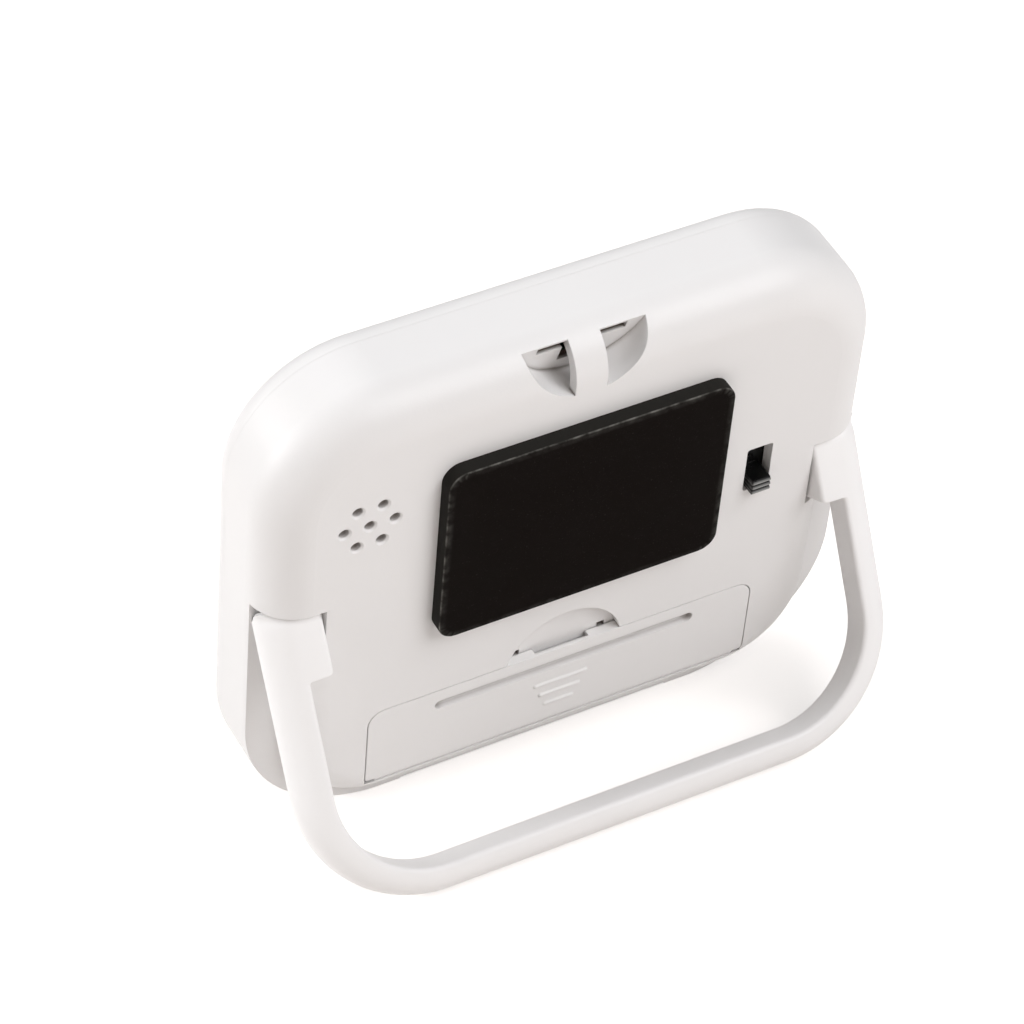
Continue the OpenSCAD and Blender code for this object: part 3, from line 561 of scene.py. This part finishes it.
# rounded section carried along the U: each station has an outer point, an outward normal, a width and
# two half depths, and the section is four arcs between the flat sides,
# given as distance in from the outer edge and depth
def makeStand(look):
    half = case["halfW"] - look["sideIn"]
    bendR = look["cornerR"] - look["sideIn"]
    bendX = half - bendR
    bendS = case["pivotZ"] + case["halfH"] - look["cornerR"]
    topS = np.sort(np.concatenate([-look["topR"] * np.sin(np.linspace(0, quarter, 11)[1:]),
                                   [-look["heel"] - look["heelStep"], -look["heel"]]]))
    plainS = np.linspace(0.0, look["plainTo"], 5)
    lowS = np.linspace(look["armFrom"], bendS, 9)
    armS = np.concatenate([topS, plainS, look["blockS"], lowS])
    blockW = np.full(len(topS) + len(plainS), look["blockA"][0])
    bend = np.linspace(0, quarter, 25)[1:]
    barX = np.linspace(bendX, 0, 12)[1:]
    x = np.concatenate([np.full(len(armS), half), bendX + bendR * np.cos(bend), barX])
    s = np.concatenate([armS, bendS + bendR * np.sin(bend), np.full(len(barX), bendS + bendR)])
    nx = np.concatenate([np.ones(len(armS)), np.cos(bend), np.zeros(len(barX))])
    ns = np.concatenate([np.zeros(len(armS)), np.sin(bend), np.ones(len(barX))])
    armW = np.full(len(lowS) + len(bend) + len(barX), look["armW"])
    width = np.concatenate([blockW, look["blockA"], armW])
    # the other half is the mirror image, without the middle station
    x, s, nx, ns, width = [np.concatenate([v, sign * v[-2::-1]]) for v, sign in (
        (x, -1), (s, 1), (nx, -1), (ns, 1), (width, 1))]
    r = case["pivotD"]
    rear = np.sqrt(np.maximum(r * r - np.minimum(s, 0) ** 2, look["leastDepth"] ** 2))
    front = np.where(s >= -look["heel"], r, rear)
    thick = rear + front
    corners = [(look["backRound"], 1, 1, np.pi, 14), (look["innerRound"], -1, 1, quarter, 6),
               (look["frontRound"], -1, -1, 0.0, 6), (look["frontRound"], 1, -1, -quarter, 6)]
    ins, outs = [], []
    for radius, outer, back, start, count in corners:
        most = thick - look["backLeft"] if radius == look["backRound"] else look["smallShare"] * thick
        rad = np.minimum(np.minimum(radius, most), width - look["sideLeft"])
        rad = np.maximum(rad, look["leastRound"])[:, None]
        angle = start - np.linspace(0, quarter, count)
        midA = rad if outer == 1 else width[:, None] - rad
        midQ = rear[:, None] - rad if back == 1 else rad - front[:, None]
        ins.append(midA + rad * np.cos(angle))
        outs.append(midQ + rad * np.sin(angle))
    a, q = np.concatenate(ins, 1), np.concatenate(outs, 1)
    loop = standPlace(x[:, None] - a * nx[:, None], s[:, None] - a * ns[:, None], q)
    pegRadius = np.concatenate([[0.0], look["pegR"] - np.array(look["noseIn"]), [look["pegR"]]])
    noseAlong = look["pegFrom"] + np.array(look["noseAt"])
    pegAlong = np.concatenate([[look["pegFrom"]], noseAlong, [look["pegTo"]]])
    y, z, along = turned(pegRadius, pegAlong, 32)
    pegs = [(standPlace(side * along, y, z), False, True, False) for side in (1, -1)]
    return meshPiece("standLoop", [(loop, False, True, True)] + pegs, 35)


dress(makeStand(standLook), "stand_plastic", "folding_stand", "stand")
print("stand made")

magnetLook = {"w": 40.0, "h": 29.0, "t": 2.1, "r": 2.5, "z": 10.6, "edge": 0.22, "faceIn": (6.0, 1.0),
              "wobble": 0.03, "waves": (23, 41), "phase": 1.3, "waveReach": 0.4, "footH": 0.1}


# edge profile of a cut sheet carried round the outline; its rim waves a little like a die-cut edge,
# and "side" goes from 0 on the face to 1 on the cut side over the rim's own rounding
def makeMagnet(look):
    turn = np.linspace(0, quarter, 6)
    inset = np.concatenate([look["faceIn"], look["edge"] * (1 - np.sin(turn)), [0.0]])
    face = np.full(len(look["faceIn"]), look["t"])
    rise = np.concatenate([face, look["t"] - look["edge"] * (1 - np.cos(turn)), [0.0]])
    x, z = roundRect(look["w"], look["h"], look["r"], inset, 12)
    station = np.linspace(0, 2 * np.pi, x.shape[1], endpoint=False)
    slow, fast = look["waves"]
    wave = look["wobble"] * (np.sin(slow * station) + np.sin(fast * station + look["phase"])) / 2
    near = np.exp(-((inset - look["edge"]) / look["waveReach"]) ** 2) * (rise > look["footH"])
    grid = leanBack(x, rise[:, None] - near[:, None] * np.abs(wave), z + look["z"])
    piece = meshPiece("magnetSlab", [(grid, False, True, True)], 50)
    setMark(piece, "side", np.clip((look["t"] - outOfBack(piece)) / look["edge"], 0, 1))
    return piece


dress(makeMagnet(magnetLook), "magnet", "case", "magnet_sheet")
print("magnet made")

knobLook = {"x": -26.4, "z": 3.65, "w": 2.65, "h": 2.4, "foot": 10.2, "head": 1.2, "ridge": 0.3, "ridges": 3,
            "edge": 0.12, "skirtW": 5.15, "skirtH": 13.2, "skirtR": 0.3, "skirtD": 2.0, "skirtT": 0.5,
            "skirtEdge": 0.1}


# knob: a side profile in depth and height, its outer end a row of cosine ridges, carried across and
# drawn in at both sides; behind the slot a thin plate with rounded corners;
# "ridge" goes from 0 in the furrows to 1 on the crests with the square of the height,
# and places the painted highlight on the crests
def makeKnob(look):
    up = np.linspace(-1, 1, 49)
    end = -look["head"] - look["ridge"] * (1 - np.cos(np.pi * look["ridges"] * (up + 1))) / 2
    turn = np.linspace(0, quarter, 5)
    inset = look["edge"] * (1 - np.sin(turn))
    across = look["w"] / 2 - look["edge"] * (1 - np.cos(turn))
    inset = np.concatenate([inset, inset[::-1]])[:, None]
    across = np.concatenate([across, -across[::-1]])[:, None]
    outer = np.concatenate([[0.0], np.ones(len(up)), [0.0]])
    depth = np.concatenate([[look["foot"]], end, [look["foot"]]]) + inset * outer
    height = np.concatenate([[-1.0], up, [1.0]]) * (look["h"] / 2 - inset)
    stem = leanBack(look["x"] + across, -depth, look["z"] + height)
    edge = look["skirtEdge"]
    x, z = roundRect(look["skirtW"], look["skirtH"], look["skirtR"], np.array([edge, 0.0, 0.0, edge]), 4)
    plateD = look["skirtD"] + np.array([0.0, edge, look["skirtT"] - edge, look["skirtT"]])[:, None]
    skirt = leanBack(look["x"] + x, -plateD, look["z"] + z)
    piece = meshPiece("knobSlider", [(stem, False, True, True), (skirt, False, True, True)])
    setMark(piece, "ridge", np.clip((outOfBack(piece) - look["head"]) / look["ridge"], 0, 1) ** 2)
    return piece


dress(makeKnob(knobLook), "knob", "slider", "switch_knob")
print("knob made")

doorLook = {"x": -0.45, "z": -18.9, "len": 37.9, "halfW": 0.76, "depth": 1.05, "round": 0.3, "over": 0.5,
            "endShare": 0.03, "sharp": 30}


# slot with rounded ends: a U-shaped section carried along the groove,
# its width drawn in by a circle at both ends
def makeGrooveCutter(look):
    half, corner = look["halfW"], look["round"]
    turn = np.linspace(0, quarter, 6)
    wide = half - corner + corner * np.cos(turn)
    deep = look["depth"] - corner + corner * np.sin(turn)
    across = np.concatenate([[half], wide, -wide[::-1], [-half]])
    depth = np.concatenate([[-look["over"]], deep, deep[::-1], [-look["over"]]])
    end = look["len"] / 2 - half
    side = np.linspace(0, quarter, 10)
    along = look["x"] + np.concatenate([-end - half * np.cos(side), end + half * np.sin(side)])[:, None]
    shrink = np.concatenate([np.sin(side), np.cos(side)]).clip(look["endShare"])[:, None]
    grid = leanBack(along, -depth, look["z"] + shrink * across)
    return meshPiece("grooveCutter", [(grid, False, True, True)])


# door leaf: the solid's own triangles with their doubles merged, and its long groove cut down to full depth
def makeDoor(look):
    work = bmesh.new()
    work.from_mesh(nodes["battery_door"].data)
    bmesh.ops.remove_doubles(work, verts=work.verts, dist=meshRules["mergeGap"])
    data = bpy.data.meshes.new("doorLeaf")
    work.to_mesh(data)
    work.free()
    leaf = linkPiece("doorLeaf", data)
    cutter = makeGrooveCutter(look)
    cut = leaf.modifiers.new("groove", "BOOLEAN")
    cut.operation, cut.solver, cut.object = "DIFFERENCE", "EXACT", cutter
    leaf.data = bpy.data.meshes.new_from_object(leaf.evaluated_get(bpy.context.evaluated_depsgraph_get()))
    leaf.modifiers.clear()
    bpy.data.objects.remove(cutter)
    leaf.data.materials.clear()
    leaf.data.attributes.remove(leaf.data.attributes["custom_normal"])  # the solid's own, false after the cut
    smoothMesh(leaf.data, look["sharp"])
    return leaf


dress(makeDoor(doorLook), "door", "door", "battery_door")
print("door made")

springLook = {"cellX": -25.1, "cellD": 6.85, "cellZ": -23.0, "cellR": (3.6, 2.2), "cellH": 5.7,
              "cellWire": 0.32, "cellTurns": 4, "padX": (20.9, 29.5), "padZ": 19.0, "padFrom": 13.3,
              "padTo": (4.8, 5.0), "padR": 1.2, "padWire": 0.22, "padTurns": 7}


# tube round a coil: the middle line turns while it rises,
# and a small circle stands on it along the radius and axis
def coil(r0, r1, rise, turns, wireR, perTurn=28, sides=12):
    t = np.linspace(0, 1, turns * perTurn + 1)[:, None]
    a = 2 * np.pi * turns * t
    b = np.linspace(0, 2 * np.pi, sides, endpoint=False)[None, :]
    r = r0 + (r1 - r0) * t + wireR * np.cos(b)
    return r * np.cos(a), r * np.sin(a), rise * t + wireR * np.sin(b)


# tapering coil along X, from the spring's plate to the cell
def makeCellSpring(look):
    w = look["cellWire"]
    x, y, along = coil(*look["cellR"], look["cellH"] - 2 * w, look["cellTurns"], w)
    grid = leanBack(look["cellX"] + w + along, y - look["cellD"], look["cellZ"] - x)
    return meshPiece("cellSpring", [(grid, False, True, True)])


# two straight coils from the board back to the sounder
def makeSounderSprings(look):
    w = look["padWire"]
    base = look["padFrom"] - w
    grids = []
    for padX, top in zip(look["padX"], look["padTo"]):
        x, y, along = coil(look["padR"], look["padR"], base - top - w, look["padTurns"], w)
        grids.append((leanBack(padX + x, along - base, look["padZ"] - y), False, True, True))
    return meshPiece("sounderSprings", grids)


dress(makeCellSpring(springLook), "bright_metal", "case", "battery_spring")
dress(makeSounderSprings(springLook), "bright_metal", "case", "buzzer_springs")
print("springs made")

buttonLook = {"z": -19.75, "pitch": 21.0, "r": 5.3, "flangeR": 6.5, "flangeT": 0.55, "lip": 0.1,
              "wallFrom": 0.2, "gap": 0.05, "rise": 1.2, "edge": 0.7, "dish": 0.3}


# turned cap: flange, straight wall, rounded rim and a shallow dish that falls with the square of the radius
def makeButton(name, step, look):
    back = case["panelBack"] - look["gap"] - look["flangeT"]
    face = back + look["flangeT"]
    top = case["frontD"] + look["rise"]
    turn = np.linspace(0, quarter, 9)
    rimR = look["r"] - look["edge"] * (1 - np.cos(turn))
    rimD = top - look["edge"] * (1 - np.sin(turn))
    dishEdge = look["r"] - look["edge"]
    dishR = np.linspace(dishEdge, 0, 12)[1:]
    dishD = top - look["dish"] * (1 - (dishR / dishEdge) ** 2)
    wide, lip = look["flangeR"], look["lip"]
    flangeR = [0, wide - lip, wide, wide, wide - lip, look["r"], look["r"]]
    flangeD = [back, back, back + lip, face - lip, face, face, face + look["wallFrom"]]
    x, z, d = turned(np.concatenate([flangeR, rimR, dishR]), np.concatenate([flangeD, rimD, dishD]), 72)
    return meshPiece(name, [(leanBack(step * look["pitch"] + x, -d, look["z"] + z), False, True, False)])


dress(makeButton("minuteCap", -1, buttonLook), "pale_button", "minute_key", "minute_button")
dress(makeButton("secondCap", 0, buttonLook), "pale_button", "second_key", "second_button")
dress(makeButton("startCap", 1, buttonLook), "start_cap", "start_key", "start_button")
print("buttons made")

figureLook = {"z": 13.75, "digitH": 15.5, "digitW": 8.2, "bar": 1.7, "gap": 0.18, "pitch": 10.6, "colon": 5.0,
              "dotAt": 0.45, "slant": 0.09, "clear": 0.01, "t": 0.06}


# each bar is a hexagon between two points, ends pointed by half the bar's width, and each dot a small
# hexagon round its middle; all are thickened into closed prisms
def makeFigures(look):
    h, w, b, g = look["digitH"] / 2, look["digitW"] / 2, look["bar"] / 2, look["gap"]
    flat = [((-w, h), (w, h)), ((-w, -h), (w, -h))]
    upright = [((sx * w, sy * h), (sx * w, 0)) for sx in (-1, 1) for sy in (-1, 1)]
    ends = np.array(flat + upright, float)
    along = ends[:, 1] - ends[:, 0]
    long = np.linalg.norm(along, axis=1)[:, None]
    e = along / long
    n = np.stack([-e[:, 1], e[:, 0]], 1)
    # end of the bar, distance along from it, distance across
    shape = np.array([(0, g, 0), (0, g + b, b), (1, -g - b, b), (1, -g, 0), (1, -g - b, -b), (0, g + b, -b)])
    reach = shape[None, :, :1] * long[:, None] + shape[None, :, 1:2]
    bars = ends[:, None, 0] + e[:, None] * reach + n[:, None] * shape[None, :, 2:]
    places = np.array([-1.5, -0.5, 0.5, 1.5]) * look["pitch"] + np.array([-1, -1, 1, 1]) * look["colon"] / 2
    spread = (bars[None] + np.stack([places, 0 * places], 1)[:, None, None]).reshape(-1, 6, 2)
    ring = np.linspace(0, 2 * np.pi, 6, endpoint=False)
    dotH = look["dotAt"] * h
    dots = np.stack([np.stack([b * np.cos(ring), b * np.sin(ring) + up * dotH], 1) for up in (-1, 1)])
    flatShape = np.concatenate([spread, dots])
    x = flatShape[..., 0] + look["slant"] * flatShape[..., 1]
    z = flatShape[..., 1] + look["z"]
    near = case["panelBack"] + look["clear"]
    far = near + look["t"]
    prisms = np.stack([leanBack(x, -near, z), leanBack(x, -far, z)], 1)
    return meshPiece("displayFigures", [(prism, False, True, True) for prism in prisms], 20)


borderLook = {"w": 51.9, "h": 23.9, "z": 13.75, "band": 1.9, "r": 0.6, "innerR": 1.2, "d": 17.93, "t": 0.05}


# printed border: four stations of a closed band between the window's edge and an inner rounded rectangle
def makeBorder(look):
    inner = np.array([False, True, True, False])[:, None]
    depth = look["d"] + np.array([0, 0, look["t"], look["t"]])[:, None]
    band = 2 * look["band"]
    x, z = roundRect(look["w"], look["h"], look["r"], np.zeros(1), 6)
    innerX, innerZ = roundRect(look["w"] - band, look["h"] - band, look["innerR"], np.zeros(1), 6)
    grid = leanBack(np.where(inner, innerX, x), -depth, np.where(inner, innerZ, z) + look["z"])
    return meshPiece("windowBorder", [(grid, True, True, False)], 30)


dress(makeFigures(figureLook), "lcd", "case", ink=figureInk)
dress(makeBorder(borderLook), "lens", "case", ink=borderInk)
print("display made")

studio = {"floorSize": 12.0, "floorColor": (0.75, 0.715, 0.69, 1), "floorGlow": 0.52, "ambient": 0.06,
          "ambientColor": (1.0, 0.97, 0.95, 1), "aim": (0, 0, 0.035),
          "cameraAt": (0.20789155, 0.39993314, 0.36149809), "cameraTurn": (54.468699, 1.851368, 151.80383),
          "lens": 153.674557, "sensor": 36.0, "clip": (0.01, 50.0)}
lamps = {"leftWindow": {"at": (0.77, -0.65, 0.55), "size": 0.7, "power": 2.4, "color": (1.0, 0.99, 0.97)},
         "leftSide": {"at": (0.85, -0.25, 0.35), "size": 0.5, "power": 5.0, "color": (0.98, 0.985, 1.0)},
         "rightFill": {"at": (-0.36, 0.66, 0.70), "size": 0.8, "power": 7.5, "color": (0.985, 0.985, 1.0)},
         "lowFill": {"at": (0.25, 0.8, 0.25), "size": 0.8, "power": 1.1, "color": (1.0, 0.88, 0.78)},
         "overhead": {"at": (0.0, -0.35, 0.9), "size": 0.8, "power": 3.0, "color": (0.98, 0.985, 1.0)}}


# floor: pale diffuse that keeps the shadow, lifted towards white only for the rays that look at it
def makeFloor():
    half = studio["floorSize"] / 2
    span = np.linspace(-half, half, 3)
    grid = np.stack(np.broadcast_arrays(span[:, None], span[None, :], 0.0), -1)
    data = bpy.data.meshes.new("floor")
    data.from_pydata(grid.reshape(-1, 3).tolist(), [], gridFaces(3, 3, False, False).tolist())
    data.update()
    material = bpy.data.materials.new("floorPale")
    material.use_nodes = True
    tree = material.node_tree
    tree.nodes.clear()
    out = addNode(tree, "ShaderNodeOutputMaterial")
    body = setInputs(addNode(tree, "ShaderNodeBsdfDiffuse"), Color=studio["floorColor"])
    glow = addNode(tree, "ShaderNodeEmission")
    both = addNode(tree, "ShaderNodeAddShader")
    ray = addNode(tree, "ShaderNodeLightPath").outputs
    seen = addMath(tree, "MAXIMUM", ray["Is Camera Ray"], ray["Is Glossy Ray"])
    seen = addMath(tree, "MAXIMUM", seen, ray["Is Transmission Ray"])
    wire(tree, addMath(tree, "MULTIPLY", seen, studio["floorGlow"]), glow.inputs["Strength"])
    wire(tree, body.outputs["BSDF"], both.inputs[0])
    wire(tree, glow.outputs["Emission"], both.inputs[1])
    wire(tree, both.outputs["Shader"], out.inputs["Surface"])
    data.materials.append(material)
    linkPiece("floor", data)


# world: a warm white, full where it is looked at and faint for all other rays
def makeWorld():
    world = bpy.data.worlds.new("studioWorld")
    world.use_nodes = True
    tree = world.node_tree
    sky = setInputs(tree.nodes["Background"], Color=studio["ambientColor"])
    ray = addNode(tree, "ShaderNodeLightPath").outputs
    seen = addMath(tree, "MAXIMUM", ray["Is Camera Ray"], ray["Is Transmission Ray"])
    wire(tree, addRange(tree, seen, To_Min=studio["ambient"]).outputs["Result"], sky.inputs["Strength"])
    scene.world = world


def makeLamps():
    aim = Vector(studio["aim"])
    for name, lamp in lamps.items():
        data = bpy.data.lights.new(name, "AREA")
        data.shape, data.size, data.energy, data.color = "DISK", lamp["size"], lamp["power"], lamp["color"]
        light = linkPiece(name, data)
        light.location = lamp["at"]
        light.rotation_euler = (aim - Vector(lamp["at"])).to_track_quat("-Z", "Y").to_euler()


def makeCamera():
    data = bpy.data.cameras.new("photoCamera")
    data.sensor_width, data.lens = studio["sensor"], studio["lens"]
    data.clip_start, data.clip_end = studio["clip"]
    camera = linkPiece("photoCamera", data)
    camera.location = studio["cameraAt"]
    camera.rotation_euler = Euler([math.radians(v) for v in studio["cameraTurn"]])
    scene.camera = camera


makeFloor()
makeWorld()
makeLamps()
makeCamera()
scene.view_settings.view_transform = "Standard"
print("studio made")

bpy.context.view_layer.update()
